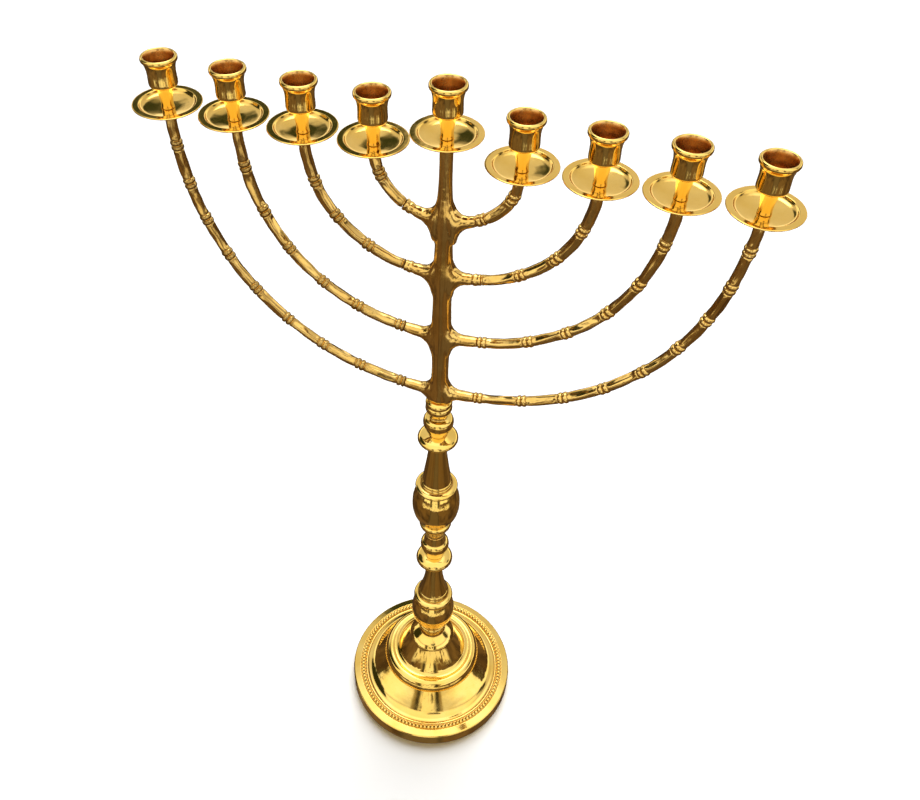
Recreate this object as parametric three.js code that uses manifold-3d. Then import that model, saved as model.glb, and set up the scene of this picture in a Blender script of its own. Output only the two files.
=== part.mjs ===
// A nine-branch menorah in brass, in millimetres, with +Z up.
// The origin is the centre of the base's foot ring, and the branches lie in the XZ plane.
// Candle places are numbered 1 to 9 from -X to +X, and place 5 stands on the middle column.
// The turned pieces of the stem are threaded on a steel rod, which a nut under the base pulls tight.
// Each candle cup clamps its drip pan to the tip of a branch by a short stud.
import * as THREE from 'three';
import { mergeVertices } from 'three/addons/utils/BufferGeometryUtils.js';
import Module from 'manifold-3d';

const wasm = await Module();
wasm.setup();

// Driving dimensions
const cupSpacing = 55;
const placeCount = 9;
const middlePlace = 5;
const gap = 0.3;
const rimHeight = 742;
const middleRise = 15;

// Drip pan, measured from its rim
const panRadius = 26.5;
const panRimInner = 21.5;
const panDepth = 4.5;
const panSheet = 1.2;

// Candle cup, measured from its foot
const cupHeight = 40.9;
const mouthRadius = 13.7;
const socketRadius = 9.6;
const socketFloor = 19.4;
const cupFootRadius = 5;

// Stud that holds a cup and its pan on a branch
const studRadius = 3;
const studHole = studRadius + gap;
const studInCup = 8.3;
const studInBranch = 8.9;
const studHoleInBranch = 9.5;

// Branches
const branchRadius = 4.8;
const branchExponent = 2.15;
const branchRootHeights = [683, 630.5, 566, 501];
const socketReach = 32;
const filletReach = 17;
const filletRadius = 7.5;

// Stem and base
const rodRadius = 4;
const rodHole = rodRadius + 0.4;
const rodBottom = 32;
const rodTop = 508;
const columnBottom = 491.8;
const baseRadius = 96.5;
const baseWallHeight = 15.6;
const domeRadius = 78;
const domeFoot = 18.8;
const domeTop = 46.9;
const domeSheet = 2.8;
const domeSeatRadius = 49;

// Flat sides used to draw round shapes
const smallSides = 14;
const panSides = 20;
const bellSides = 22;
const baseSides = 32;
const studSides = 12;
const branchSides = 8;

// Heights worked out from the drip pan's rim
const panFloorTop = -panDepth;
const footAboveRim = panFloorTop + gap;
const tipAboveRim = panFloorTop - panSheet - gap;

const polished = new THREE.MeshStandardMaterial({ color: 0xd9a935, roughness: 0.12, metalness: 1 });
const spun = new THREE.MeshStandardMaterial({ color: 0xe0b548, roughness: 0.18, metalness: 1 });
const cast = new THREE.MeshStandardMaterial({ color: 0x8f6a24, roughness: 0.34, metalness: 1 });
const steel = new THREE.MeshStandardMaterial({ color: 0x9a9a98, roughness: 0.35, metalness: 1 });

const menorah = new THREE.Group();

function addPiece(name, geometry, material, x = 0, z = 0) {
  const piece = new THREE.Mesh(geometry, material);
  piece.name = name;
  piece.position.set(x, 0, z);
  menorah.add(piece);
}

// Points of an elliptical arc, as [radius, height] pairs
function arc(centre, radii, fromDegrees, toDegrees, steps) {
  const points = [];
  for (let i = 0; i <= steps; i += 1) {
    const angle = THREE.MathUtils.degToRad(fromDegrees + (toDegrees - fromDegrees) * i / steps);
    points.push([centre[0] + radii[0] * Math.cos(angle), centre[1] + radii[1] * Math.sin(angle)]);
  }
  return points;
}

// Turns an outline of [radius, height] pairs, listed upwards on its outside, about the Z axis
function turned(outline, sides) {
  const points = outline.map(([radius, height]) => new THREE.Vector2(radius, height));
  const geometry = new THREE.LatheGeometry(points, sides);
  geometry.rotateX(Math.PI / 2);
  return geometry;
}

// A turned piece with a plain hole for the rod right through it
function turnedOnRod(outline, sides) {
  const bottom = [rodHole, outline[0][1]];
  const top = [rodHole, outline.at(-1)[1]];
  return turned([bottom, ...outline, top, bottom], sides);
}

// A round bar that stands on Z, from one height to another
function upright(radius, bottom, top, sides) {
  const bar = new THREE.CylinderGeometry(radius, radius, top - bottom, sides);
  bar.rotateX(Math.PI / 2);
  bar.translate(0, 0, (bottom + top) / 2);
  return bar;
}

function toSolid(geometry) {
  const bare = geometry.clone();
  bare.deleteAttribute('normal');
  bare.deleteAttribute('uv');
  const merged = mergeVertices(bare, 1e-4);
  const mesh = new wasm.Mesh({
    numProp: 3,
    vertProperties: new Float32Array(merged.attributes.position.array),
    triVerts: new Uint32Array(merged.index.array),
  });
  return new wasm.Manifold(mesh);
}

function toGeometry(solid) {
  const mesh = solid.getMesh();
  const geometry = new THREE.BufferGeometry();
  geometry.setAttribute('position', new THREE.BufferAttribute(mesh.vertProperties, 3));
  geometry.setIndex(new THREE.BufferAttribute(mesh.triVerts, 1));
  return geometry;
}

// A branch's middle line, nearly a quarter circle: level at the column and upright at the tip.
// side is -1 or 1, and only the stretch between two distances from the column is taken.
class BranchLine extends THREE.Curve {
  constructor(side, reach, rootHeight, tipHeight, fromReach, toReach) {
    super();
    Object.assign(this, { side, reach, rootHeight, tipHeight });
    this.first = this.angleAt(fromReach);
    this.last = this.angleAt(toReach);
  }

  angleAt(distance) {
    return Math.asin((distance / this.reach) ** (branchExponent / 2));
  }

  getPoint(t) {
    const angle = this.first + (this.last - this.first) * t;
    const out = Math.sin(angle) ** (2 / branchExponent);
    const drop = Math.max(Math.cos(angle), 0) ** (2 / branchExponent);
    const rise = this.tipHeight - this.rootHeight;
    return new THREE.Vector3(this.side * this.reach * out, 0, this.tipHeight - rise * drop);
  }
}

// A bar of even thickness along a curve
function barAlong(curve, radius, sides, steps) {
  const section = new THREE.Shape();
  section.absarc(0, 0, radius, 0, 2 * Math.PI);
  return new THREE.ExtrudeGeometry(section, {
    steps,
    curveSegments: sides / 2,
    extrudePath: curve,
    bevelEnabled: false,
  });
}

function placeX(place) {
  return (place - middlePlace) * cupSpacing;
}

function placeRim(place) {
  return rimHeight + (place === middlePlace ? middleRise : 0);
}

// Base: a spun dome over a flat rim with a milled bead seat, hollow below, on a narrow foot ring
function addBase() {
  const footRing = 4;
  const outline = [
    [baseRadius - footRing, 0],
    [baseRadius, 0],
    [baseRadius, baseWallHeight],
    [baseRadius - 1.3, baseWallHeight + 1.5],
    [87.2, 19],
    [86.4, 20.4],
    [82.2, 20.4],
    [81.4, 18.8],
    [domeRadius, domeFoot],
    [74, 20.2],
    [70.5, 22.6],
    [66, 27.4],
    [61, 33],
    [55.5, 39.4],
    [domeSeatRadius, domeTop],
    [rodHole, domeTop],
    [rodHole, domeTop - domeSheet],
    [domeSeatRadius - domeSheet, domeTop - domeSheet],
    [52.8, 37.6],
    [58.6, 30.6],
    [63.8, 24.6],
    [68.6, 19.8],
    [73, 16.6],
    [baseRadius - footRing, 13.6],
    [baseRadius - footRing, 0],
  ];
  addPiece('base_dome', turned(outline, baseSides), polished);
}

// Bell foot: a hollow bell with a rolled lip, which stands on the base's dome
function addBell() {
  const seat = domeTop + gap;
  const outline = [
    [rodHole, 112.7],
    [rodHole, 102.5],
    [19, 92],
    [22, 86],
    [34.8, 58.5],
    [41.5, 54.8],
    [46, seat],
    [54.5, seat],
    [56, 49.4],
    [56.2, 52],
    [55.2, 56.5],
    [53.4, 60.2],
    [51, 62.6],
    [48, 63.4],
    [44.6, 62.2],
    [39.4, 64],
    [34.6, 72.5],
    [30.2, 82],
    [25.8, 93],
    [24.4, 96],
    [20.6, 100.4],
    [15, 105],
    [14.4, 112.7],
    [rodHole, 112.7],
  ];
  addPiece('bell_foot', turned(outline, bellSides), polished);
}

// Stem: each entry is one turned piece, its outline listed upwards
function addStem() {
  const pieces = {
    lower_knop: [
      [14.6, 113], [15.8, 114.2], [16.3, 116.4], [15.8, 118.6], [14.9, 119.6], [15.6, 122], [14.9, 124.6],
      [16.8, 127.2], [20.4, 131.5], [22.8, 138], [23.9, 146], [23.8, 153.5], [22.6, 160.5], [18.4, 170.2],
    ],
    lower_taper: [
      [18.4, 170.5], [20.6, 171.8], [21.6, 175], [21.2, 178], [18.6, 180], [16.8, 180.6], [16.8, 184],
      [16.2, 184.6], [16.2, 187.4], [15.2, 188.6], [13.8, 192], [10.6, 207], [8.6, 221], [7.6, 234],
      [7.6, 241.7],
    ],
    lower_disc: [
      [8.4, 242], [15.5, 243.8], ...arc([15.2, 247.6], [4.1, 3], -60, 60, 2), [13.2, 253.4], [10.3, 255.4],
    ],
    lower_acorn: [
      [10.2, 255.7], [11.8, 261.4], [13.8, 267.4], ...arc([11.2, 273.4], [3.7, 4.6], -20, 80, 2),
      [10.8, 279.4], [9.8, 290.2],
    ],
    urn: [
      [9.6, 290.5], [10.8, 296.4], [13.9, 303.4], [16.2, 308.6], [16.3, 311.4], [15.4, 313.2], [12.9, 314.4],
      [13.6, 316], [17.6, 320], [21, 326.4], [23.2, 335], [23.8, 345], [22.9, 354.5], [20.6, 361.6],
      [17.6, 366.4],
    ],
    upper_taper: [
      [17.8, 366.7], [20, 367.4], [21, 369.6], [20.4, 371.6], [17, 373], [15.6, 373.4], [15.6, 375.8],
      [14.9, 376.4], [14.9, 378.8], [13.8, 380], [7.7, 434.2],
    ],
    upper_disc: [
      [8.4, 434.5], [15.2, 436.2], ...arc([15, 440], [4.2, 3], -60, 60, 2), [13, 445.2], [9.6, 446.9],
    ],
    upper_acorn: [
      [9.2, 447.2], [10.6, 451], [12.6, 456], ...arc([10.4, 463], [3.8, 5.4], -30, 75, 2),
      [7.8, 469.2], [7.6, 473.4], [8.4, 476],
    ],
    neck_collar: [
      [8.6, 476.3], [10.8, 477.2], [12.2, 480.4], [11.9, 483.8], [11.1, 484.6], [11.9, 485.4],
      [12.2, 487.6], [11.4, 490], [9, 491.5],
    ],
  };
  for (const [name, outline] of Object.entries(pieces)) {
    addPiece(name, turnedOnRod(outline, smallSides), polished);
  }
}

// Steel rod through base and stem, with its washer and nut under the dome
function addRod() {
  const washerTop = domeTop - domeSheet - gap;
  const washerThickness = 1.6;
  const washerRadius = 12;
  const nutTop = washerTop - washerThickness - gap;
  const nutHeight = 6.5;
  const nutCornerRadius = 7.5;
  const washer = [
    [washerRadius, washerTop - washerThickness],
    [washerRadius, washerTop],
  ];
  const hexagon = new THREE.Shape();
  hexagon.setFromPoints(new THREE.Path().absarc(0, 0, nutCornerRadius, 0, 2 * Math.PI).getPoints(3));
  hexagon.holes.push(new THREE.Path().absarc(0, 0, rodHole, 0, 2 * Math.PI));
  const nut = new THREE.ExtrudeGeometry(hexagon, {
    depth: nutHeight,
    curveSegments: studSides / 2,
    bevelEnabled: false,
  });
  addPiece('tie_rod', upright(rodRadius, rodBottom, rodTop, studSides), steel);
  addPiece('rod_washer', turnedOnRod(washer, smallSides), steel);
  addPiece('rod_nut', nut, steel, 0, nutTop - nutHeight);
}

// The steps of a bar along a branch grow with its reach
function branchSteps(reach) {
  return Math.round(5 + reach / 16);
}

function branchLine(place, fromReach, toReach) {
  const side = Math.sign(place - middlePlace);
  const distance = Math.abs(place - middlePlace);
  const rootHeight = branchRootHeights[distance - 1];
  const tipHeight = rimHeight + tipAboveRim;
  return new BranchLine(side, distance * cupSpacing, rootHeight, tipHeight, fromReach, toReach);
}

// Middle column: a tapered bar with a short filleted root for every branch, a tapped foot and a tapped tip
function addColumn(branchPlaces) {
  const columnTip = rimHeight + middleRise + tipAboveRim;
  const outline = [
    [0, columnBottom], [7.6, columnBottom], [8.8, 501], [7.4, 528], [8.8, 566],
    [8.1, 604], [8.6, 630], [6.8, 668], [7, 683], [5.2, 714], [5.2, columnTip], [0, columnTip],
  ];
  let column = toSolid(turned(outline, smallSides));
  const rootEnd = socketReach - gap;
  for (const place of branchPlaces) {
    const line = branchLine(place, 0, rootEnd);
    column = column.add(toSolid(barAlong(line, branchRadius, branchSides, 4)));
    const fillet = new THREE.CylinderGeometry(branchRadius, filletRadius, filletReach, branchSides);
    fillet.rotateZ(-line.side * Math.PI / 2);
    fillet.translate(line.side * filletReach / 2, 0, line.rootHeight + 1);
    column = column.add(toSolid(fillet));
  }
  const rodSocket = upright(rodHole, columnBottom - 1, rodTop + 2, studSides);
  const studSocket = upright(studHole, columnTip - studHoleInBranch, columnTip + 1, studSides);
  column = column.subtract(toSolid(rodSocket)).subtract(toSolid(studSocket));
  addPiece('centre_column', toGeometry(column), cast);
}

// Branch: a curved bar from its root on the column to its tip, tapped there for the stud
function addBranch(place) {
  const line = branchLine(place, socketReach, Math.abs(placeX(place)));
  const bar = toSolid(barAlong(line, branchRadius, branchSides, branchSteps(line.reach)));
  const tip = rimHeight + tipAboveRim;
  const hole = upright(studHole, tip - studHoleInBranch, tip + 1, studSides);
  hole.translate(placeX(place), 0, 0);
  addPiece(`branch_${place}`, toGeometry(bar.subtract(toSolid(hole))), cast);
}

// Drip pan: a thin spun dish with a flat rim and a hole for the stud
function addPan(place) {
  const floorRadius = 9;
  const outline = [
    [studHole, panFloorTop - panSheet],
    [floorRadius, panFloorTop - panSheet],
    [panRimInner, -panSheet],
    [panRadius, -panSheet],
    [panRadius, 0],
    [panRimInner, 0],
    [floorRadius, panFloorTop],
    [studHole, panFloorTop],
    [studHole, panFloorTop - panSheet],
  ];
  addPiece(`drip_pan_${place}`, turned(outline, panSides), spun, placeX(place), placeRim(place));
}

// Candle cup: a turned socket with a rolled lip, a narrow neck and a small foot tapped for the stud
function addCup(place) {
  const outline = [
    [0, studInCup + gap],
    [studHole, studInCup + gap],
    [studHole, 0],
    [cupFootRadius, 0],
    [5.1, 6],
    [6.5, 16],
    [11.2, 18.6],
    [10.7, 29],
    [12.4, 36],
    [mouthRadius, 38.4],
    [12.9, 40.5],
    [11.6, cupHeight],
    [10.5, 37],
    [socketRadius, 31],
    [socketRadius, socketFloor],
    [0, socketFloor],
  ];
  const foot = placeRim(place) + footAboveRim;
  addPiece(`candle_cup_${place}`, turned(outline, smallSides), polished, placeX(place), foot);
}

function addStud(place) {
  const foot = placeRim(place) + footAboveRim;
  const tip = placeRim(place) + tipAboveRim;
  const stud = upright(studRadius, tip - studInBranch, foot + studInCup, studSides);
  addPiece(`cup_stud_${place}`, stud, steel, placeX(place));
}

addBase();
addBell();
addStem();
addRod();

const places = Array.from({ length: placeCount }, (_, i) => i + 1);
const branchPlaces = places.filter((place) => place !== middlePlace);
addColumn(branchPlaces);
branchPlaces.forEach(addBranch);
places.forEach(addPan);
places.forEach(addCup);
places.forEach(addStud);

export default menorah;
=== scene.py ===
"""A nine-branch menorah in brass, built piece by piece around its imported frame.

Lengths in the sections are in millimetres and turn into metres as a piece is finished.
Candle places are numbered 1 to 9 from -X to +X, and place 5 stands on the middle column.
"""
import math
import random

import bmesh
import bpy
import numpy as np
from mathutils import Matrix, Quaternion, Vector, noise
from mathutils.geometry import interpolate_bezier


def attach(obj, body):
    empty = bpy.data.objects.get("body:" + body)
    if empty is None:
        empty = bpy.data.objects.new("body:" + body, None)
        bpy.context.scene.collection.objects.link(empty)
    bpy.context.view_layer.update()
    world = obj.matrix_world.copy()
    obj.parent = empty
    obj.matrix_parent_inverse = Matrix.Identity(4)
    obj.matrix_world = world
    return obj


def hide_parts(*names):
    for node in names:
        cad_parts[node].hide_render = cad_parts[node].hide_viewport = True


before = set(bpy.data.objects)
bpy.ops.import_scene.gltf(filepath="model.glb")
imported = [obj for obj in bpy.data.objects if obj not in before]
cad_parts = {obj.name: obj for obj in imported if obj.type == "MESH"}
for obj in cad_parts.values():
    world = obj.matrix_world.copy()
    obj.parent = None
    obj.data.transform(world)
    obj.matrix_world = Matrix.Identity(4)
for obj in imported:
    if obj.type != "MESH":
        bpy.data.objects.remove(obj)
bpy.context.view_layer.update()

# ---------------------------------------------------------------- Camera
# A standing person's view: from in front, a little to the menorah's right, and steeply down.
# It is turned a little about its own line of sight, as a camera held in the hand is.
camera_heading = math.radians(-16.9)
camera_pitch = math.radians(45.57)
camera_roll = math.radians(0.86)
line_of_sight = Vector((
    math.sin(camera_heading) * math.cos(camera_pitch),
    math.cos(camera_heading) * math.cos(camera_pitch),
    -math.sin(camera_pitch),
))
camera_data = bpy.data.cameras.new("camera")
camera_data.lens = 37.06
camera_data.sensor_width = 36
camera_data.shift_x = 0.038
camera_data.shift_y = -0.003
camera = bpy.data.objects.new("camera", camera_data)
camera.location = (0.1604, -0.5715, 1.0981)
camera.rotation_mode = "QUATERNION"
camera.rotation_quaternion = line_of_sight.to_track_quat("-Z", "Y") @ Quaternion((0, 0, 1), camera_roll)
bpy.context.scene.collection.objects.link(camera)
bpy.context.scene.camera = camera
bpy.context.scene.view_settings.view_transform = "Standard"

# ---------------------------------------------------------------- Floor
# A wide sheet of pale paper on a floor. The brass mirrors the room around it, and not the paper,
# so the paper is out of sight for reflections.
floor_shape = bmesh.new()
bmesh.ops.create_grid(floor_shape, x_segments=1, y_segments=1, size=14)
bmesh.ops.translate(floor_shape, verts=floor_shape.verts, vec=(0, 0, -0.0003))
floor_mesh = bpy.data.meshes.new("floor")
floor_shape.to_mesh(floor_mesh)
floor_shape.free()
floor = bpy.data.objects.new("floor", floor_mesh)
bpy.context.scene.collection.objects.link(floor)
floor.visible_glossy = False
paper = bpy.data.materials.new("pale_paper")
paper.use_nodes = True
paper_shader = paper.node_tree.nodes["Principled BSDF"]
paper_shader.inputs["Roughness"].default_value = 0.9
paper_shader.inputs["Specular IOR Level"].default_value = 0.1
paper_fibres = paper.node_tree.nodes.new("ShaderNodeTexNoise")
paper_fibres.inputs["Scale"].default_value = 40
paper_tone = paper.node_tree.nodes.new("ShaderNodeMix")
paper_tone.data_type = "RGBA"
paper_tone.inputs["A"].default_value = (0.90, 0.90, 0.90, 1)
paper_tone.inputs["B"].default_value = (0.93, 0.93, 0.92, 1)
paper.node_tree.links.new(paper_fibres.outputs["Fac"], paper_tone.inputs["Factor"])
paper.node_tree.links.new(paper_tone.outputs["Result"], paper_shader.inputs["Base Color"])
floor_mesh.materials.append(paper)

# ---------------------------------------------------------------- Room and light
# The menorah stands in a pale room with a warm brown floor and dark furniture and plants near the walls.
# Polished brass is a mirror, so this room is what gives it its bright tops and brown undersides.
room = bpy.data.worlds.new("room")
bpy.context.scene.world = room
room.use_nodes = True
room_nodes = room.node_tree.nodes
room_links = room.node_tree.links
room_nodes.clear()


def room_maths(operation, *values):
    """A Math node in the room's shader. A value is a number or another node's output."""
    node = room_nodes.new("ShaderNodeMath")
    node.operation = operation
    for socket, value in zip(node.inputs, values):
        if isinstance(value, (int, float)):
            socket.default_value = value
        else:
            room_links.new(value, socket)
    return node.outputs[0]


def room_step(value, low, high):
    """Goes smoothly from 0 at low to 1 at high. Low may be the larger of the two."""
    node = room_nodes.new("ShaderNodeMapRange")
    node.interpolation_type = "SMOOTHSTEP"
    node.inputs["From Min"].default_value = low
    node.inputs["From Max"].default_value = high
    room_links.new(value, node.inputs["Value"])
    return node.outputs["Result"]


def room_mix(share, first, second):
    """Blends two colours of the room. A colour is a tuple or another node's output."""
    node = room_nodes.new("ShaderNodeMix")
    node.data_type = "RGBA"
    room_links.new(share, node.inputs["Factor"])
    for name, colour in (("A", first), ("B", second)):
        if isinstance(colour, tuple):
            node.inputs[name].default_value = (*colour, 1)
        else:
            room_links.new(colour, node.inputs[name])
    return node.outputs["Result"]


def room_patches(size, detail):
    """Soft random patches over the whole room, from 0 to 1. Size is in radians."""
    node = room_nodes.new("ShaderNodeTexNoise")
    node.inputs["Scale"].default_value = 1 / size
    node.inputs["Detail"].default_value = detail
    room_links.new(direction.outputs["Generated"], node.inputs["Vector"])
    return node.outputs["Fac"]


def dark_thing(toward, radius, raggedness):
    """How much of a dark, ragged thing in the room is seen each way. The radius is in degrees."""
    node = room_nodes.new("ShaderNodeVectorMath")
    node.operation = "DOT_PRODUCT"
    room_links.new(direction.outputs["Generated"], node.inputs[0])
    node.inputs[1].default_value = Vector(toward).normalized()
    rough_edge = room_maths("MULTIPLY_ADD", leaves, raggedness, -raggedness / 2)
    close = room_maths("ADD", node.outputs["Value"], rough_edge)
    edge = math.cos(math.radians(radius))
    return room_step(close, edge - 0.012, edge + 0.012)


direction = room_nodes.new("ShaderNodeTexCoord")
axes = room_nodes.new("ShaderNodeSeparateXYZ")
room_links.new(direction.outputs["Generated"], axes.inputs[0])
to_right, to_back, to_top = axes.outputs
patches = room_patches(0.31, 4)
leaves = room_patches(0.14, 3)

ceiling_ramp = room_nodes.new("ShaderNodeValToRGB")
room_links.new(to_top, ceiling_ramp.inputs["Fac"])
ceiling_tones = [
    (0.00, (1.25, 1.15, 0.95)),
    (0.05, (1.45, 1.38, 1.20)),
    (0.22, (1.50, 1.45, 1.30)),
    (0.31, (0.84, 0.79, 0.68)),
    (0.60, (0.80, 0.76, 0.68)),
    (0.78, (0.90, 0.86, 0.78)),
    (0.88, (1.55, 1.53, 1.45)),
    (1.00, (1.70, 1.70, 1.65)),
]
while len(ceiling_ramp.color_ramp.elements) < len(ceiling_tones):
    ceiling_ramp.color_ramp.elements.new(0.5)
for stop, (place_on_ramp, tone) in zip(ceiling_ramp.color_ramp.elements, ceiling_tones):
    stop.position = place_on_ramp
    stop.color = (*tone, 1)

# A row of dark plants stands along the walls, and the walls above them are bright.
plant_green = (0.10, 0.082, 0.045)
ragged_height = room_maths("MULTIPLY_ADD", leaves, 0.30, -0.13)
above_plants = room_step(room_maths("SUBTRACT", to_top, ragged_height), -0.015, 0.035)
walls = room_mix(above_plants, plant_green, ceiling_ramp.outputs["Color"])

# The viewer stands in front, 15.7 degrees round to the right. That direction has these two parts.
viewer_to_right = 0.27
viewer_to_front = 0.963
toward_viewer = room_maths("MULTIPLY", to_back, -viewer_to_front)
toward_viewer = room_maths("MULTIPLY_ADD", to_right, viewer_to_right, toward_viewer)
beside_viewer = room_maths("MULTIPLY", to_right, viewer_to_front)
beside_viewer = room_maths("MULTIPLY_ADD", to_back, viewer_to_right, beside_viewer)
beside_viewer = room_maths("ABSOLUTE", room_maths("MULTIPLY_ADD", patches, 0.16, beside_viewer))
bright_side = room_maths("MULTIPLY", room_step(toward_viewer, 0.0, 0.3), room_step(to_top, 0.30, 0.45))
bright_wall = (1.40, 1.33, 1.12)
walls = room_mix(bright_side, walls, bright_wall)
dark_things = {
    "plant behind, on the left": ((-0.42, 0.765, 0.475), 11, 0.06, (0.045, 0.055, 0.022)),
    "shelf on the left": ((-0.86, -0.10, 0.42), 23, 0.10, (0.035, 0.038, 0.015)),
    "plant on the right": ((0.88, 0.24, 0.42), 9, 0.06, (0.045, 0.040, 0.016)),
    "cupboard in front": ((0.33, -0.80, 0.50), 7, 0.07, (0.035, 0.030, 0.018)),
}
for toward, radius, raggedness, colour in dark_things.values():
    walls = room_mix(dark_thing(toward, radius, raggedness), walls, colour)
floor_light = room_maths("MULTIPLY_ADD", toward_viewer, 0.12, patches)
dark_board = (0.070, 0.043, 0.025)
light_board = (0.205, 0.130, 0.066)
floor_boards = room_mix(room_step(floor_light, 0.34, 0.68), dark_board, light_board)
around = room_mix(room_step(to_top, -0.03, 0.0), floor_boards, walls)

# The viewer in dark clothes is mirrored as an upright shape, paler at both flanks and broken in the
# middle.
clothes = (0.10, 0.08, 0.05)
clothes_shadow = (0.07, 0.058, 0.038)
flank_tone = (0.40, 0.32, 0.19)
near_floor_tone = (0.17, 0.125, 0.08)
white_paper = (1.30, 1.22, 1.00)
white_cloth = (1.15, 1.06, 0.85)
viewer_side = room_step(toward_viewer, 0.10, 0.25)
viewer_side = room_maths("MULTIPLY", viewer_side, room_step(to_top, 0.42, 0.34))
ragged_top = room_maths("MULTIPLY_ADD", room_maths("SUBTRACT", leaves, 0.5), 0.30, to_top)
near_floor = room_step(ragged_top, -0.34, -0.46)
upper_stripe = room_mix(room_step(leaves, 0.36, 0.42), clothes, white_paper)
stripe = room_mix(near_floor, upper_stripe, near_floor_tone)
flank = room_mix(room_step(beside_viewer, 0.29, 0.38), clothes_shadow, flank_tone)
viewer = room_mix(room_step(beside_viewer, 0.16, 0.26), stripe, flank)
viewer_edge = room_maths("MULTIPLY_ADD", near_floor, -0.17, 0.44)
viewer_inside = room_step(room_maths("SUBTRACT", viewer_edge, beside_viewer), 0.0, 0.05)
room_colour = room_mix(room_maths("MULTIPLY", viewer_side, viewer_inside), around, viewer)
low_band = room_step(ragged_top, -0.44, -0.38)
white_things = room_maths("MULTIPLY", low_band, room_step(ragged_top, -0.14, -0.26))
white_things = room_maths("MULTIPLY", white_things, room_step(toward_viewer, 0.40, 0.55))
white_things = room_maths("MULTIPLY", white_things, room_step(leaves, 0.40, 0.46))
room_colour = room_mix(white_things, room_colour, white_cloth)

# The camera itself sees plain white behind the menorah, and the floor gets only a little of the room's
# light.
diffuse_share_lost = 0.88
rays = room_nodes.new("ShaderNodeLightPath")
seen = room_mix(rays.outputs["Is Camera Ray"], room_colour, (1.0, 1.0, 1.0))
sky = room_nodes.new("ShaderNodeBackground")
room_links.new(seen, sky.inputs["Color"])
sky_strength = room_maths("MULTIPLY_ADD", rays.outputs["Is Diffuse Ray"], -diffuse_share_lost, 1.0)
room_links.new(sky_strength, sky.inputs["Strength"])
room_output = room_nodes.new("ShaderNodeOutputWorld")
room_links.new(sky.outputs[0], room_output.inputs["Surface"])

softbox_data = bpy.data.lights.new("softbox", "AREA")
softbox_data.size = 0.95
softbox_data.energy = 8
softbox_data.color = (1.0, 0.985, 0.95)
softbox = bpy.data.objects.new("softbox", softbox_data)
softbox.location = (-0.30, 0.60, 2.30)
menorah_middle = Vector((0, 0, 0.4))
softbox.rotation_euler = (menorah_middle - softbox.location).to_track_quat("-Z", "Y").to_euler()
bpy.context.scene.collection.objects.link(softbox)

window_data = bpy.data.lights.new("window", "SUN")
window_data.angle = math.radians(60)
window_data.energy = 4.6
window = bpy.data.objects.new("window", window_data)
window.rotation_euler = Vector((0.05, -0.64, -0.77)).to_track_quat("-Z", "Y").to_euler()
window.visible_glossy = False
bpy.context.scene.collection.objects.link(window)

# ---------------------------------------------------------------- Base dome
# Spun from one disc of brass over a wooden form: a plain edge wall, a sloping rim, a seat for the ring of
# beads, a channel and a dome. It is hollow and raw below, and polished to a mirror where it shows.
rod_hole = 4.4
piece_gap = 0.3


def outline_wire(marks):
    """A wire along an outline's marks. It runs smoothly through a mark of (radius, height), and turns a
    corner at a mark of (radius, height, rounding)."""
    wire = bmesh.new()
    ends = [i for i, mark in enumerate(marks) if len(mark) == 3]
    points = [Vector((mark[0], 0, mark[1])) for mark in marks]
    first = wire.verts.new(points[0])
    last = first
    corners = [(first, marks[0][2])]
    for start, stop in zip(ends, ends[1:]):
        run = points[start:stop + 1]
        for i in range(len(run) - 1):
            span = (run[i + 1] - run[i]).length
            before = run[i - 1] if i else run[i]
            after = run[i + 2] if i + 2 < len(run) else run[i + 1]
            lead_in = (run[i + 1] - before).normalized() * span / 3
            lead_out = (after - run[i]).normalized() * span / 3
            pieces = max(2, min(12, round(span / 0.9)))
            if len(run) == 2:
                pieces = max(2, min(30, round(span / 3)))
            curve = interpolate_bezier(
                run[i], run[i] + lead_in, run[i + 1] - lead_out, run[i + 1], pieces + 1)
            for point in curve[1:]:
                vertex = wire.verts.new(point)
                wire.edges.new((last, vertex))
                last = vertex
        corners.append((last, marks[stop][2]))
    for vertex, rounding in corners:
        if rounding > 0 and vertex.is_valid:
            bmesh.ops.bevel(wire, geom=[vertex], offset=rounding, offset_type="OFFSET", segments=3,
                            profile=0.5, affect="VERTICES", material=-1)
    return wire


def turned(marks, sides):
    """The closed shape that an outline leaves when it is spun about the upright axis."""
    shape = outline_wire(marks)
    bmesh.ops.spin(shape, geom=shape.verts[:] + shape.edges[:], cent=(0, 0, 0), axis=(0, 0, 1),
                   dvec=(0, 0, 0), angle=2 * math.pi, steps=sides, use_merge=True, use_duplicate=False)
    bmesh.ops.remove_doubles(shape, verts=shape.verts[:], dist=0.0005)
    bmesh.ops.recalc_face_normals(shape, faces=shape.faces[:])
    return shape


def turned_on_rod(marks, sides):
    """A turned piece with the rod's plain hole right through it."""
    bottom = (rod_hole, marks[0][1], 0)
    top = (rod_hole, marks[-1][1], 0)
    return turned([bottom, *marks, top, bottom], sides)


def keep_bench_place(shape):
    """Stores where each vertex lies while the piece is on the lathe or bench. Its finish follows that."""
    bench = shape.verts.layers.float_vector.new("bench")
    for vertex in shape.verts:
        vertex[bench] = vertex.co


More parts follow.
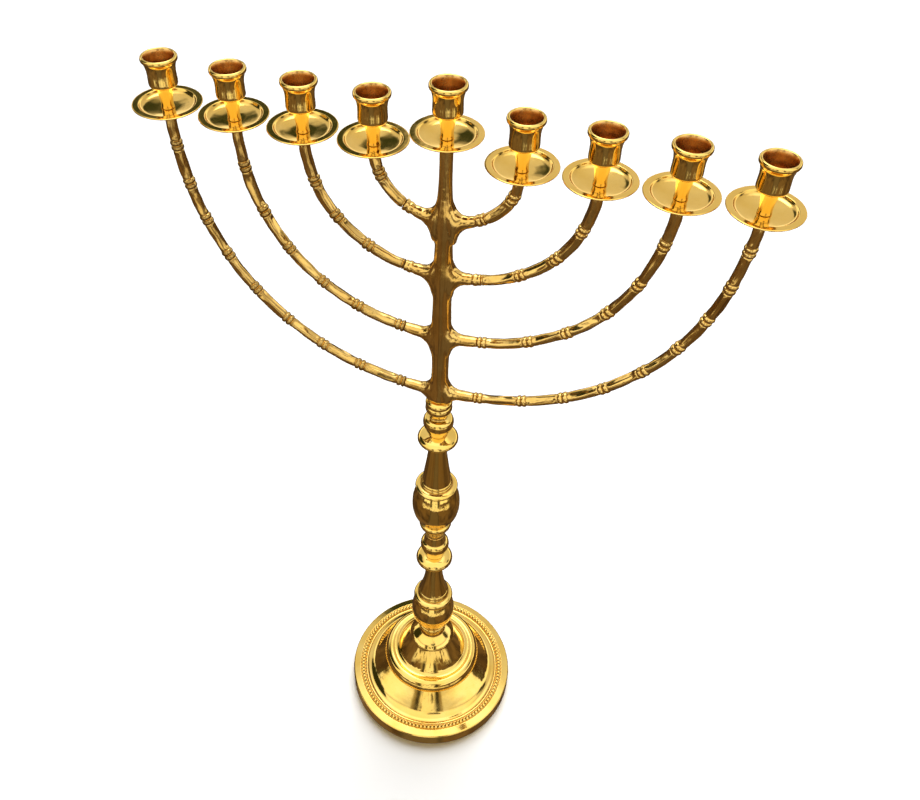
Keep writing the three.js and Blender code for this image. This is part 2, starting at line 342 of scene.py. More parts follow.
def mark_hollows_and_ridges(mesh):
    """Stores how much each vertex lies in a hollow or on a ridge, from 0 to 1, for polish and wear."""
    count = len(mesh.vertices)
    place = np.empty(count * 3)
    mesh.vertices.foreach_get("co", place)
    place = place.reshape(-1, 3) * 1000
    facing = np.empty(count * 3)
    mesh.vertex_normals.foreach_get("vector", facing)
    facing = facing.reshape(-1, 3)
    ends = np.empty(len(mesh.edges) * 2, dtype=np.int64)
    mesh.edges.foreach_get("vertices", ends)
    one, other = ends.reshape(-1, 2).T
    step = place[other] - place[one]
    square = np.maximum((step ** 2).sum(1), 0.01)
    total = np.bincount(one, (step * facing[one]).sum(1) / square, count)
    total += np.bincount(other, -(step * facing[other]).sum(1) / square, count)
    share = np.maximum(np.bincount(one, minlength=count) + np.bincount(other, minlength=count), 1)
    bend = 2 * total / share
    for _ in range(3):
        spread = np.bincount(one, bend[other], count) + np.bincount(other, bend[one], count)
        bend = 0.5 * bend + 0.5 * spread / share
    for name, amount in (("hollow", bend * 1.6), ("ridge", -bend * 0.8 - 0.1)):
        attribute = mesh.attributes.new(name, "FLOAT", "POINT")
        attribute.data.foreach_set("value", np.clip(amount, 0, 1).astype(np.float32))


def finished_piece(name, shape, materials, body, nodes, centre=(0, 0)):
    """Turns a shape in millimetres into the finished object on its body, moved to its centre (x, z)."""
    if "bench" not in shape.verts.layers.float_vector:
        keep_bench_place(shape)
    bmesh.ops.translate(shape, verts=shape.verts, vec=(centre[0], 0, centre[1]))
    bmesh.ops.scale(shape, verts=shape.verts, vec=(0.001, 0.001, 0.001))
    for face in shape.faces:
        face.smooth = True
    mesh = bpy.data.meshes.new(name)
    shape.to_mesh(mesh)
    shape.free()
    mark_hollows_and_ridges(mesh)
    for material in materials:
        mesh.materials.append(material)
    piece = bpy.data.objects.new(name, mesh)
    bpy.context.scene.collection.objects.link(piece)
    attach(piece, body)
    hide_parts(*nodes)
    return piece


def metal(name, pale, deep, tarnish_and_shade, smoothest, roughest, rings=0.0, strokes=0.0, dents=0.0, hollows=0.0,
          grains=0.0):
    """A worked metal. Rings are turning marks, strokes and hollows run along a filed bar, dents come from
    the polishing wheel and grains from the sand mould. Each is its bump's depth in millimetres."""
    material = bpy.data.materials.new(name)
    material.use_nodes = True
    nodes = material.node_tree.nodes
    links = material.node_tree.links
    shader = nodes["Principled BSDF"]
    shader.inputs["Metallic"].default_value = 1.0

    def put(kind, label, **values):
        node = nodes.new(kind)
        node.label = label
        for key, value in values.items():
            socket = node.inputs[key.replace("_", " ")]
            if isinstance(value, bpy.types.NodeSocket):
                links.new(value, socket)
            else:
                socket.default_value = value
        return node

    def cloud(label, vector, size, detail=3.0):
        node = put("ShaderNodeTexNoise", label, Vector=vector, Scale=1 / size, Detail=detail)
        return node.outputs["Fac"]

    def between(label, value, low, high, out_low, out_high):
        node = put("ShaderNodeMapRange", label, Value=value, From_Min=low, From_Max=high,
                   To_Min=out_low, To_Max=out_high)
        return node.outputs["Result"]

    def blend(label, share, first, second):
        node = nodes.new("ShaderNodeMix")
        node.label = label
        node.data_type = "RGBA"
        links.new(share, node.inputs["Factor"])
        for side, colour in (("A", first), ("B", second)):
            if isinstance(colour, tuple):
                node.inputs[side].default_value = (*colour, 1)
            else:
                links.new(colour, node.inputs[side])
        return node.outputs["Result"]

    def attribute(attribute_name):
        node = nodes.new("ShaderNodeAttribute")
        node.attribute_name = attribute_name
        return node

    def stretched(label, factors):
        node = put("ShaderNodeVectorMath", label, Vector=bench)
        node.operation = "MULTIPLY"
        node.inputs[1].default_value = factors
        return node.outputs[0]

    def product(label, first, second):
        node = nodes.new("ShaderNodeMath")
        node.label = label
        node.operation = "MULTIPLY"
        links.new(first, node.inputs[0])
        links.new(second, node.inputs[1])
        return node.outputs[0]

    bench = attribute("bench").outputs["Vector"]
    hollow = attribute("hollow").outputs["Fac"]
    ridge = attribute("ridge").outputs["Fac"]
    parts = put("ShaderNodeSeparateXYZ", "bench place", Vector=bench)
    away = nodes.new("ShaderNodeVectorMath")
    away.operation = "LENGTH"
    links.new(stretched("level with the axis", (1, 1, 0)), away.inputs[0])
    ring_place = put("ShaderNodeCombineXYZ", "ring place", X=away.outputs["Value"], Z=parts.outputs["Z"])
    long_place = stretched("long along the bar", (1, 1, 0.05))
    hollow_place = stretched("somewhat long along the bar", (1, 1, 0.3))

    tone = cloud("colour clouds", bench, 22.0)
    fine_tone = cloud("fine colour", bench, 2.6, 5.0)
    colour = blend("pale and deep brass", between("contrast", tone, 0.3, 0.7, 0, 1), pale, deep)
    smudge = between("smudges", cloud("smudge clouds", bench, 7.0, 6.0), 0.55, 0.75, 0, 0.45)
    colour = blend("finger smudges", smudge, colour, deep)
    # Tarnish settles in the hollows. Where a piece's hollow colour is near-black, as on the bead ring, this
    # darkening is painted shade.
    uneven_tarnish = between("uneven tarnish", fine_tone, 0.25, 0.6, 0.55, 1.0)
    hollow_darkening = product("settled tarnish", hollow, uneven_tarnish)
    colour = blend("tarnish in the hollows", hollow_darkening, colour, tarnish_and_shade)
    uneven_wear = between("uneven wear", fine_tone, 0.3, 0.6, 0.1, 0.6)
    colour = blend("worn ridges", product("wear", ridge, uneven_wear), colour, pale)
    links.new(colour, shader.inputs["Base Color"])

    tarnish_roughness = 0.25
    polish = between("polish", cloud("polish clouds", bench, 9.0, 6.0), 0.3, 0.7, smoothest, roughest)
    dulled = nodes.new("ShaderNodeMath")
    dulled.label = "duller where tarnished"
    dulled.operation = "MULTIPLY_ADD"
    links.new(hollow_darkening, dulled.inputs[0])
    dulled.inputs[1].default_value = tarnish_roughness
    links.new(polish, dulled.inputs[2])
    links.new(dulled.outputs[0], shader.inputs["Roughness"])

    relief = [
        ("wheel dents", dents, cloud("dent clouds", bench, 11.0, 2.0)),
        ("turning rings", rings, cloud("ring clouds", ring_place.outputs[0], 0.55, 3.0)),
        ("filed hollows", hollows, cloud("hollow clouds", hollow_place, 3.4, 1.5)),
        ("file strokes", strokes, cloud("stroke clouds", long_place, 1.1, 3.0)),
        ("sand grains", grains, cloud("grain clouds", bench, 0.7, 4.0)),
    ]
    normal = None
    for label, depth, height in relief:
        if depth > 0:
            bump = put("ShaderNodeBump", label, Height=height, Distance=depth * 0.001, Strength=1.0)
            if normal is not None:
                links.new(normal, bump.inputs["Normal"])
            normal = bump.outputs["Normal"]
    links.new(normal, shader.inputs["Normal"])
    return material


polished_brass = metal("polished_brass", pale=(0.92, 0.67, 0.215), deep=(0.86, 0.57, 0.13),
                       tarnish_and_shade=(0.42, 0.22, 0.06), smoothest=0.045, roughest=0.11, rings=0.0016, dents=0.10)
inner_brass = metal("raw_inner_brass", pale=(0.50, 0.31, 0.11), deep=(0.36, 0.21, 0.08),
                    tarnish_and_shade=(0.16, 0.09, 0.04), smoothest=0.35, roughest=0.6, rings=0.012, dents=0.10)

base_radius = 96.5
base_inner_radius = 92.5
base_inner_height = 13.6
dome_top = 46.9
dome_sheet = 2.8
base_marks = [
    (base_inner_radius, 0, 0.4), (base_radius, 0, 0.6), (base_radius, 15.8, 0.7), (95.4, 17.1, 0.4),
    (92, 17.9), (87.8, 18.9, 0.3), (87.2, 18.2, 0.15), (84.2, 17.9), (81.4, 18.3, 0.15),
    (80.9, 19.2, 0.25), (79.7, 19.4), (78.4, 18.6, 0.4), (77.9, 19.1), (74, 20.2), (70.5, 22.6),
    (66, 27.4), (61, 33), (55.5, 39.4), (49, dome_top, 0.5), (rod_hole, dome_top, 0),
    (rod_hole, dome_top - dome_sheet, 0), (46.2, dome_top - dome_sheet, 1), (52.8, 37.6),
    (58.6, 30.6), (63.8, 24.6), (68.6, 19.8), (73, 16.6, 1),
    (base_inner_radius, base_inner_height, 1), (base_inner_radius, 0, 0.4),
]
base_shape = turned(base_marks, 160)
for face in base_shape.faces:
    middle = face.calc_center_median()
    faces_down = face.normal.z < -0.02 and middle.z > 1
    inside_wall = math.hypot(middle.x, middle.y) < base_inner_radius + 0.5
    if faces_down or inside_wall and middle.z < base_inner_height + 0.4:
        face.material_index = 1
finished_piece("base_dome", base_shape, [polished_brass, inner_brass], "stand",
               ["base_dome"])

# ---------------------------------------------------------------- Bead ring
# A ring of small beads pressed into the base's rim with a knurling wheel, 120 of them, each a short
# radial oval. It is part of the base's own metal.
bead_count = 120
bead_steps = 10
bead_circle = 84.4
bead_centre_height = 18.0
bead_half_width = 2.55
bead_half_height = 2.3
bead_roundness = 0.6
bead_shape = bmesh.new()
bead_gap_shade = bead_shape.verts.layers.float.new("gap")
bead_matrix = Matrix.Translation((bead_circle, 0, bead_centre_height))
bead_matrix = bead_matrix @ Matrix.Rotation(math.pi / 2, 4, "X")
bmesh.ops.create_circle(bead_shape, cap_ends=False, segments=12, radius=1, matrix=bead_matrix)
bmesh.ops.spin(bead_shape, geom=bead_shape.verts[:] + bead_shape.edges[:], cent=(0, 0, 0), axis=(0, 0, 1),
               dvec=(0, 0, 0), angle=2 * math.pi, steps=bead_count * bead_steps, use_merge=True,
               use_duplicate=False)
bmesh.ops.remove_doubles(bead_shape, verts=bead_shape.verts[:], dist=0.0005)

# The plain hoop swells into beads. The swell is 1 at a bead's middle and 0 in the gap between two, where
# the bead brass is painted near-black as shade.
for vertex in bead_shape.verts:
    turn = math.atan2(vertex.co.y, vertex.co.x)
    swell = abs(math.cos(turn * bead_count / 2)) ** bead_roundness
    vertex[bead_gap_shade] = min(max((0.72 - swell) / 0.3, 0), 1)
    out = math.hypot(vertex.co.x, vertex.co.y) - bead_circle
    out_now = bead_circle + out * bead_half_width * (0.45 + 0.55 * swell)
    up = (vertex.co.z - bead_centre_height) * bead_half_height * (0.05 + 0.95 * swell)
    vertex.co = (out_now * math.cos(turn), out_now * math.sin(turn), bead_centre_height + up)
bmesh.ops.recalc_face_normals(bead_shape, faces=bead_shape.faces[:])
# The beads' near-black hollow colour is painted shade in the gaps between the beads, far darker than the
# tarnish in the other pieces' hollows.
bead_brass = metal("bead_brass", pale=(0.91, 0.64, 0.19), deep=(0.84, 0.54, 0.12),
                   tarnish_and_shade=(0.05, 0.022, 0.006), smoothest=0.06, roughest=0.13, rings=0.0016, dents=0.05)
bead_ring = finished_piece("bead_ring", bead_shape, [bead_brass], "stand", [])
# The gap amount replaces the hollow amount, so the painted shade lies in the gaps between the beads.
gap_shade = np.empty(len(bead_ring.data.vertices), dtype=np.float32)
bead_ring.data.attributes["gap"].data.foreach_get("value", gap_shade)
bead_ring.data.attributes["hollow"].data.foreach_set("value", gap_shade)

# ---------------------------------------------------------------- Bell foot
# A hollow cast bell, turned and polished on the lathe: a rolled lip, a steep wall and a crisp shoulder.
# It stands on the dome and carries the stem.
bell_seat = dome_top + piece_gap
bell_top = 112.7
bell_marks = [
    (46, bell_seat, 0), (54.5, bell_seat, 0.8), (56, 49.4), (56.3, 52), (55.3, 56.5), (53.4, 60.2),
    (51, 62.5), (48, 63.3), (44.6, 62.2, 0.4), (42, 62.6), (39.4, 64.3), (34.6, 72.5), (30.2, 82),
    (26.4, 91.6), (25.7, 94.2, 1.2), (22.6, 98.2), (18.6, 102), (14.9, 105.2, 0.4),
    (14.4, bell_top, 0.3), (rod_hole, bell_top, 0.2), (rod_hole, 102.5, 0.3), (19, 92, 2), (22, 86),
    (34.8, 58.5), (41.5, 54.8, 1), (46, bell_seat, 0),
]
finished_piece("bell_foot", turned(bell_marks, 128), [polished_brass], "stand",
               ["bell_foot"])

# ---------------------------------------------------------------- Stem
# Nine turned brass pieces threaded on the steel rod: knops, tapers, discs, acorns, an urn and a collar.
# Each is cast, turned on the lathe and polished, and they meet in fine lines.
stem_marks = {
    "lower_knop": [
        (14.6, 113, 0.2), (15.7, 114.2), (16.3, 116.4), (15.7, 118.5), (14.8, 119.5, 0.3), (15.5, 121),
        (15.6, 123), (14.8, 124.6, 0.3), (16.8, 127.2), (20.4, 131.5), (22.8, 138), (23.9, 146),
        (23.8, 153.5), (22.6, 160.5), (20.6, 166.2), (18.4, 170.2, 0.2),
    ],
    "lower_taper": [
        (18.2, 170.5, 0.2), (20, 171.5), (21.6, 174), (21.5, 177), (20, 179), (16.9, 180.2, 0.3),
        (17.1, 181.6), (17, 183.4), (16.3, 184.6, 0.2), (16.5, 185.8), (16.3, 187.1), (15.5, 188, 0.2),
        (14.4, 192), (11.3, 206), (9.0, 222), (7.8, 235), (7.6, 241.7, 0.2),
    ],
    "lower_disc": [
        (8.2, 242, 0.2), (10, 242.4), (15.5, 243.7), (19.0, 246), (19.3, 248.8), (17.6, 252), (14, 254.2),
        (10.3, 255.4, 0.2),
    ],
    "lower_acorn": [
        (10.1, 255.7, 0.2), (10.4, 257), (11.4, 260), (13.4, 266), (14.9, 272), (14.3, 276.6), (13, 278.8),
        (11.3, 280, 0.3), (11, 281.5), (10.2, 286), (9.8, 290.2, 0.2),
    ],
    "urn": [
        (9.7, 290.5, 0.2), (10.6, 296), (13.4, 302.5), (16.2, 308.4), (16.3, 311.4), (15.2, 313.3),
        (12.9, 314.1, 0.3), (13.8, 316), (17.6, 320), (21, 326.4), (23.2, 335), (23.8, 345), (22.9, 354.5),
        (20.6, 361.6), (18, 366.4, 0.2),
    ],
    "upper_taper": [
        (17.8, 366.7, 0.2), (19.2, 367.5), (20.9, 369.4), (20.5, 371.4), (18.2, 372.8), (15.8, 373.4, 0.3),
        (15.9, 374.4), (15.6, 375.6), (14.9, 376.4, 0.2), (15.2, 377.4), (14.9, 378.5), (14.1, 379.4, 0.2),
        (13.9, 382), (10.9, 404), (8.2, 427), (7.7, 434.2, 0.2),
    ],
    "upper_disc": [
        (8.2, 434.5, 0.2), (10.2, 435.2), (15.6, 436.4), (18.8, 438.6), (18.9, 441.2), (17, 443.6),
        (13.2, 445.4), (9.4, 446.9, 0.2),
    ],
    "upper_acorn": [
        (9.1, 447.2, 0.2), (9.4, 448.6), (12, 454), (14, 460), (14.1, 463.4), (13.4, 466.2), (11.8, 468.1),
        (9.4, 468.9), (7.9, 469.6, 0.4), (7.6, 472.6), (8.4, 476, 0.2),
    ],
    "neck_collar": [
        (8.6, 476.3, 0.2), (10.6, 477), (12.1, 479.6), (12.1, 482.6), (11.4, 484.2), (10.9, 484.8, 0.1),
        (11.6, 485.6), (12.2, 487.4), (11.5, 490), (9.2, 491.5, 0.2),
    ],
}
for stem_name, marks in stem_marks.items():
    finished_piece(stem_name, turned_on_rod(marks, 80), [polished_brass], "stand",
                   [stem_name])

# ---------------------------------------------------------------- Tie rod, washer and nut
# A steel rod with an M8 thread at both ends runs from under the base up into the column.
# A washer and a hexagon nut under the dome pull the whole stem tight.
steel = metal("steel", pale=(0.56, 0.56, 0.55), deep=(0.40, 0.40, 0.40), tarnish_and_shade=(0.16, 0.13, 0.10),
              smoothest=0.28, roughest=0.45, strokes=0.004, dents=0.03, grains=0.003)


def threaded(radius, depth, pitch, bottom, top, sides=16):
    """A closed length of screw thread that stands on the axis from bottom to top."""
    shape = bmesh.new()
    root = radius - depth
    rise = [(root, 0), (radius, 0.36), (radius, 0.52), (root, 0.88), (root, 1)]
    corners = [shape.verts.new((out, 0, bottom - pitch + up * pitch)) for out, up in rise]
    for lower, upper in zip(corners, corners[1:]):
        shape.edges.new((lower, upper))
    turns = math.ceil((top - bottom) / pitch) + 2
    bmesh.ops.spin(shape, geom=shape.verts[:] + shape.edges[:], cent=(0, 0, 0), axis=(0, 0, 1),
                   dvec=(0, 0, pitch / sides), angle=2 * math.pi * turns, steps=sides * turns,
                   use_merge=False, use_duplicate=False)
    bmesh.ops.remove_doubles(shape, verts=shape.verts[:], dist=0.001)
    for height, keep_above in ((bottom, True), (top, False)):
        cut = bmesh.ops.bisect_plane(shape, geom=shape.verts[:] + shape.edges[:] + shape.faces[:],
                                     plane_co=(0, 0, height), plane_no=(0, 0, 1), dist=0.0005,
                                     clear_inner=keep_above, clear_outer=not keep_above)
        rim = [item for item in cut["geom_cut"] if isinstance(item, bmesh.types.BMEdge)]
        bmesh.ops.holes_fill(shape, edges=rim, sides=0)
    bmesh.ops.recalc_face_normals(shape, faces=shape.faces[:])
    return shape


def added(shape, other):
    """Puts a second closed shape into the first."""
    spare = bpy.data.meshes.new("spare")
    other.to_mesh(spare)
    other.free()
    shape.from_mesh(spare)
    bpy.data.meshes.remove(spare)
    return shape


rod_bottom = 32
rod_top = 508
rod_radius = 4.0
rod_thread_depth = 0.65
rod_thread_pitch = 1.25
rod_thread_length = 22
low_thread_end = rod_bottom + rod_thread_length
high_thread_start = rod_top - rod_thread_length
rod_shape = threaded(rod_radius, rod_thread_depth, rod_thread_pitch, rod_bottom, low_thread_end)
high_thread = threaded(rod_radius, rod_thread_depth, rod_thread_pitch, high_thread_start, rod_top)
rod_shape = added(rod_shape, high_thread)
shank_radius = 3.7
shank_end_radius = 3.2
shank_marks = [
    (0, low_thread_end - 1, 0), (shank_end_radius, low_thread_end - 1, 0.1),
    (shank_radius, low_thread_end + 1, 0.3), (shank_radius, high_thread_start - 1, 0.3),
    (shank_end_radius, high_thread_start + 1, 0.1), (0, high_thread_start + 1, 0),
]
rod_shape = added(rod_shape, turned(shank_marks, 24))
finished_piece("tie_rod", rod_shape, [steel], "stand", ["tie_rod"])

washer_top = dome_top - dome_sheet - piece_gap
washer_thickness = 1.6
washer_radius = 12
washer_marks = [
    (washer_radius, washer_top - washer_thickness, 0.3),
    (washer_radius, washer_top, 0.3),
]
finished_piece("rod_washer", turned_on_rod(washer_marks, 48), [steel], "stand", ["rod_washer"])

nut_top = washer_top - washer_thickness - piece_gap
nut_height = 6.5
nut_corner = 7.5
nut_corner_drop = 0.42
nut_shape = bmesh.new()
bmesh.ops.create_cone(nut_shape, cap_ends=True, segments=6, radius1=nut_corner, radius2=nut_corner,
                      depth=nut_height, matrix=Matrix.Translation((0, 0, nut_top - nut_height / 2)))
nut_ends = [face for face in nut_shape.faces if abs(face.normal.z) > 0.9]
bmesh.ops.inset_individual(nut_shape, faces=nut_ends, thickness=1.6, depth=0)
nut_ends = [face for face in nut_shape.faces if len(face.verts) == 6]
hole_rims = []
for face in nut_ends:
    height = face.calc_center_median().z
    edges = face.edges[:]
    bmesh.ops.delete(nut_shape, geom=[face], context="FACES_ONLY")
    ring = bmesh.ops.create_circle(nut_shape, cap_ends=False, segments=24, radius=rod_hole - 0.1,
                                   matrix=Matrix.Translation((0, 0, height)))
    ring_edges = list({edge for vertex in ring["verts"] for edge in vertex.link_edges})
    bmesh.ops.bridge_loops(nut_shape, edges=edges + ring_edges)
    hole_rims.append(ring_edges)
bmesh.ops.bridge_loops(nut_shape, edges=hole_rims[0] + hole_rims[1])
outer_corners = [v for v in nut_shape.verts if math.hypot(v.co.x, v.co.y) > nut_corner - 0.01]
for vertex in outer_corners:
    if vertex.co.z > nut_top - nut_height / 2:
        vertex.co.z -= nut_corner_drop
    else:
        vertex.co.z += nut_corner_drop
nut_edges = [edge for edge in nut_shape.edges if edge.calc_face_angle(0) > 0.3]
bmesh.ops.bevel(nut_shape, geom=nut_edges, offset=0.18, offset_type="OFFSET", segments=2, profile=0.5,
                affect="EDGES", material=-1)
bmesh.ops.recalc_face_normals(nut_shape, faces=nut_shape.faces[:])
finished_piece("rod_nut", nut_shape, [steel], "stand", ["rod_nut"])

# ---------------------------------------------------------------- Branches
# Eight sand-cast brass bars, bent to nearly a quarter circle. Each has knuckles of two small beads between
# grooves, and the stretches between are filed by hand, so no two are quite alike.
cast_brass = metal("cast_brass", pale=(0.87, 0.61, 0.215), deep=(0.72, 0.45, 0.12),
                   tarnish_and_shade=(0.14, 0.075, 0.022), smoothest=0.09, roughest=0.18, strokes=0.016, dents=0.25,
                   hollows=0.24, grains=0.001)
cup_spacing = 55
middle_place = 5
rim_height = 742
middle_rise = 15
tip_below_rim = 6
branch_tip = rim_height - tip_below_rim
branch_exponent = 2.15
branch_roots = [683, 630.5, 566, 501]
bar_radius = 4.8
seam_reach = 32
seam_radius = bar_radius - 0.9
stud_hole = 3.3
stud_hole_depth = 9.5
knuckle_distances = {
    4: [30, 64, 98, 134, 172, 211, 249, 287],
    3: [38, 78.5, 116, 156, 191],
    2: [40, 73, 107],
    1: [23],
}
last_knuckle_reach = {4: 35.0, 3: 35.4, 2: 28.9, 1: 28.9}


class BranchLine:
    """A branch's middle line, level at the column and upright at the tip. Distances run from the tip."""

    def __init__(self, distance_from_middle):
        reach = distance_from_middle * cup_spacing
        rise = branch_tip - branch_roots[distance_from_middle - 1]
        turn = np.linspace(math.pi / 2, 0, 4001)
        self.out = reach * np.sin(turn) ** (2 / branch_exponent)
        self.height = branch_tip - rise * np.maximum(np.cos(turn), 0) ** (2 / branch_exponent)
        steps = np.hypot(np.diff(self.out), np.diff(self.height))
        self.distance = np.concatenate([[0], np.cumsum(steps)])

    def distance_at(self, reach):
        return float(np.interp(-reach, -self.out, self.distance))

    def bend(self, shape, side):
        """Bends a straight bar, which stands on the axis with its tip at 0, on to the line."""
        for vertex in shape.verts:
            x, y, along = vertex.co
            if math.hypot(x, y) < stud_hole + 0.05 and along < stud_hole_depth + 0.1:
                vertex.co = (side * (self.out[0] + x), y, branch_tip - along)
                continue
            near = np.interp([along - 0.4, along, along + 0.4], self.distance, self.out)
            high = np.interp([along - 0.4, along, along + 0.4], self.distance, self.height)
            tangent = Vector((near[2] - near[0], 0, high[2] - high[0])).normalized()
            across = Vector((-tangent.z, 0, tangent.x))
            place = Vector((near[1], 0, high[1])) + across * x
            vertex.co = (side * place.x, y, place.z)
        bmesh.ops.recalc_face_normals(shape, faces=shape.faces[:])


def knuckled_marks(knuckles, start, stop, rng):
    """The outline of a bar from start to stop: two beads at each knuckle, and a slimmer stretch between.
    Each knuckle has a groove at both ends and a crease between its beads."""
    marks = []
    here = start
    bead_from_middle = 2.3
    half_groove = 0.6
    groove_edge = bar_radius - 0.55
    groove_floor = bar_radius - 1.05
    bead_foot = bar_radius - 0.25
    crease_edge = bar_radius - 0.2
    crease_floor = bar_radius - 1.15
    for centre in knuckles:
        gap = rng.uniform(4.2, 4.8)
        bead = bar_radius + rng.uniform(0.15, 0.4)
        low = centre - gap
        high = centre + gap
        if low - here > 8:
            marks += [
                (bar_radius - 0.35, here + 1.8),
                (bar_radius + rng.uniform(-0.35, -0.05), here + (low - here) * rng.uniform(0.35, 0.65)),
                (bar_radius - 0.4, low - 2.2),
            ]
        marks += [
            (groove_edge, low - half_groove, 0.12),
            (groove_floor, low, 0.1),
            (bead_foot, low + half_groove, 0.12),
            (bead, centre - bead_from_middle),
            (crease_edge, centre - half_groove, 0.12),
            (crease_floor, centre, 0.1),
            (crease_edge, centre + half_groove, 0.12),
            (bead, centre + bead_from_middle),
            (bead_foot, high - half_groove, 0.12),
            (groove_floor, high, 0.1),
            (groove_edge, high + half_groove, 0.12),
        ]
        here = high + half_groove
    if stop - here > 8:
        marks += [(bar_radius - 0.3, here + 1.8), (bar_radius - 0.15, (here + stop) / 2)]
    return [mark for mark in marks if start < mark[1] < stop]


def file_by_hand(shape, knuckles, rng):
    """Files long flats into each stretch of a straight bar, which fade out at its knuckles, and makes the
    whole bar a little uneven. A flat has the way it faces, its depth as a share, and its twist."""
    flats_in_stretch = 6
    unevenness = 0.46
    flats = []
    for _ in range(len(knuckles) + 1):
        flats.append([(rng.uniform(0, 2 * math.pi), rng.uniform(0.74, 0.89), rng.uniform(-0.02, 0.02))
                      for _ in range(flats_in_stretch)])
    for vertex in shape.verts:
        x, y, along = vertex.co
        out = math.hypot(x, y)
        if out < stud_hole + 0.1 or along < 2:
            continue
        stretch = sum(1 for knuckle in knuckles if knuckle < along)
        clear = min(abs(knuckle - along) for knuckle in knuckles)
        filed = min(max((clear - 4.6) / 3.5, 0), 1)
        turn = math.atan2(y, x)
        longest = out
        for facing, share, twist in flats[stretch]:
            leaning = math.cos(turn - facing - twist * along)
            if leaning > 0.3:
                longest = min(longest, share * bar_radius / leaning)
        uneven = noise.noise(Vector((x * 0.2, y * 0.2, along * 0.09))) * unevenness
        scale = (out + (longest - out) * filed + uneven * (0.35 + 0.65 * filed)) / out
        vertex.co.x *= scale
        vertex.co.y *= scale


def branch_distance(place):
    return abs(place - middle_place)


branch_places = [place for place in range(1, 10) if place != middle_place]
for place in branch_places:
    rng = random.Random(40 + place)
    line = BranchLine(branch_distance(place))
    seam = line.distance_at(seam_reach)
    knuckles = [*knuckle_distances[branch_distance(place)]]
    knuckles.append(line.distance_at(last_knuckle_reach[branch_distance(place)]))
    body_marks = knuckled_marks(knuckles, 1.5, seam - 0.6, rng)
    bar_marks = [
        (0, stud_hole_depth, 0), (stud_hole, stud_hole_depth, 0.2), (stud_hole, 0, 0.15),
        (bar_radius - 0.5, 0, 0.3), (bar_radius - 0.15, 1.0, 0.3), *body_marks,
        (seam_radius, seam, 0.15), (0, seam, 0),
    ]
    bar = turned(bar_marks, 36)
    file_by_hand(bar, knuckles, rng)
    keep_bench_place(bar)
    line.bend(bar, 1 if place > middle_place else -1)
    finished_piece(f"branch_{place}", bar, [cast_brass], "stand", [f"branch_{place}"])

# ---------------------------------------------------------------- Centre column
# One rough brass casting: an upright bar with the short root of every branch, which runs into it in wide
# soft fillets. It screws on to the rod at its foot, and takes the middle cup's stud at its tip.
column_tip = rim_height + middle_rise - tip_below_rim
column_bottom = 491.8
rod_socket_top = 510
column_marks = [
    (0, rod_socket_top, 0), (rod_hole, rod_socket_top, 0), (rod_hole, column_bottom, 0),
    (8.6, column_bottom, 0.5), (9.2, 495), (8.9, 501), (8.0, 512), (7.4, 528), (7.6, 545), (8.6, 566),
    (8.1, 585), (7.7, 606), (8.4, 630.5), (7.5, 648), (7.1, 664), (7.7, 683), (6.9, 694), (5.8, 706),
    (5.2, 720), (5.1, 735), (5.2, column_tip, 0.5), (stud_hole, column_tip, 0),
    (stud_hole, column_tip - stud_hole_depth, 0), (0, column_tip - stud_hole_depth, 0),
]
column_shape = turned(column_marks, 48)
root_start = 5.0
root_end = seam_reach - piece_gap
fillet_start = 20.0
fillet_end = 8.0
fillet_above = 13.0
fillet_below = 16.0
for place in branch_places:
    rng = random.Random(40 + place)
    line = BranchLine(branch_distance(place))
    start = line.distance_at(root_end)
    stop = line.distance_at(root_start)
    knuckles = [line.distance_at(last_knuckle_reach[branch_distance(place)])]
    root_marks = [
        (0, start, 0), (seam_radius, start, 0.15), (bar_radius - 0.1, start + 0.6, 0.1),
        *knuckled_marks(knuckles, start + 0.7, stop - 17, rng),
        (bar_radius, stop - 16), (bar_radius, stop - 8), (bar_radius, stop, 0), (0, stop, 0),
    ]
    root = turned(root_marks, 30)
    for vertex in root.verts:
        x, y, along = vertex.co
        reach = root_start + stop - along
        inward = min(max((fillet_start - reach) / (fillet_start - fillet_end), 0), 1)
        tall = (fillet_above if x < 0 else fillet_below) * (1 - math.sqrt(1 - inward ** 2))
        vertex.co.x *= 1 + tall / bar_radius
        vertex.co.y *= 1 + 0.5 * inward ** 2
    line.bend(root, 1 if place > middle_place else -1)
    column_shape = added(column_shape, root)

# The bar and the roots become one skin, which is smoothed everywhere and most of all near the roots.
rough_mesh = bpy.data.meshes.new("rough_column")
column_shape.to_mesh(rough_mesh)
column_shape.free()
rough_column = bpy.data.objects.new("rough_column", rough_mesh)
bpy.context.scene.collection.objects.link(rough_column)
skin = rough_column.modifiers.new("skin", "REMESH")
skin.mode = "VOXEL"
skin.voxel_size = 0.6
skin.adaptivity = 0
column_shape = bmesh.new()
column_shape.from_object(rough_column, bpy.context.evaluated_depsgraph_get())
bpy.data.objects.remove(rough_column)
bpy.data.meshes.remove(rough_mesh)
for _ in range(3):
    bmesh.ops.smooth_vert(column_shape, verts=column_shape.verts[:], factor=0.5, use_axis_x=True,
                          use_axis_y=True, use_axis_z=True)
near_roots = [vertex for vertex in column_shape.verts
              if abs(vertex.co.x) < 19 and math.hypot(vertex.co.x, vertex.co.y) > 4.9]
for _ in range(24):
    bmesh.ops.smooth_vert(column_shape, verts=near_roots, factor=0.5, use_axis_x=True, use_axis_y=True,
                          use_axis_z=True)

